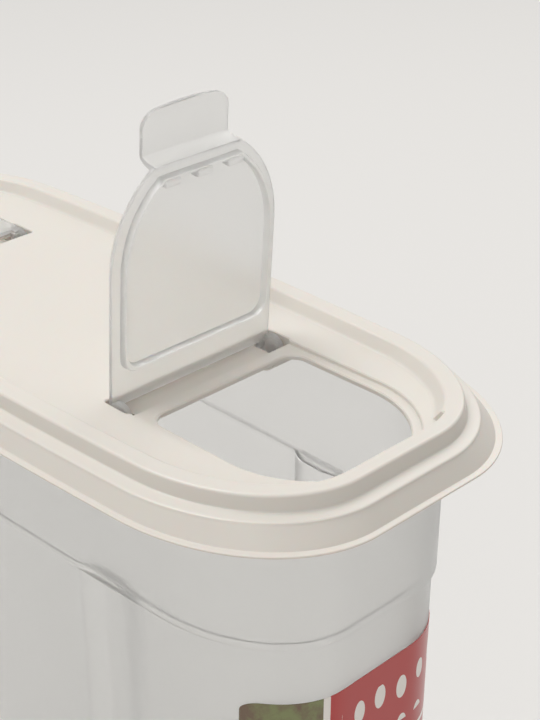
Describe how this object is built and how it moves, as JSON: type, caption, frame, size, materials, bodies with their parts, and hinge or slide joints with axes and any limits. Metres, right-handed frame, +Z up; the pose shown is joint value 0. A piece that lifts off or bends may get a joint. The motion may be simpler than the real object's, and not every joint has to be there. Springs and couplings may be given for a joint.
{
  "type": "rice bin with flip lid",
  "caption": "Tall translucent kitchen bin for rice, with a lift-off lid that has a pouring flap at each end and a paper label wrapped round the front.",
  "frame": {"origin": "centre of the face that the bin stands on", "axes": "+X along the bin towards the pouring end whose flap stands open, +Y across the bin, +Z up"},
  "size_m": [0.2574, 0.1168, 0.3114],
  "materials": {
    "tub_plastic": "milky translucent polypropylene, satin outside",
    "lid_plastic": "warm off-white polypropylene, satin",
    "flap_plastic": "milky translucent polypropylene, satin",
    "label_paper": "gloss-coated printed paper"
  },
  "bodies": {
    "tub": {"tub": "tub_plastic", "front_label": "label_paper"},
    "lid": {"lid": "lid_plastic"},
    "front_flap": {"front_flap": "flap_plastic"},
    "rear_flap": {"rear_flap": "flap_plastic"}
  },
  "joints": [
    {"name": "lid_lift", "type": "slide", "parent": "tub", "child": "lid", "axis": [0, 0, 1], "range_m": [0, 0.12]},
    {"name": "front_flap_hinge", "type": "hinge", "parent": "lid", "child": "front_flap", "pos_m": [0.0481, 0, 0.23285], "axis": [0, -1, 0], "range_deg": [-86, 5]},
    {"name": "rear_flap_hinge", "type": "hinge", "parent": "lid", "child": "rear_flap", "pos_m": [-0.0611, 0, 0.23285], "axis": [0, 1, 0], "range_deg": [0, 91]}
  ]
}
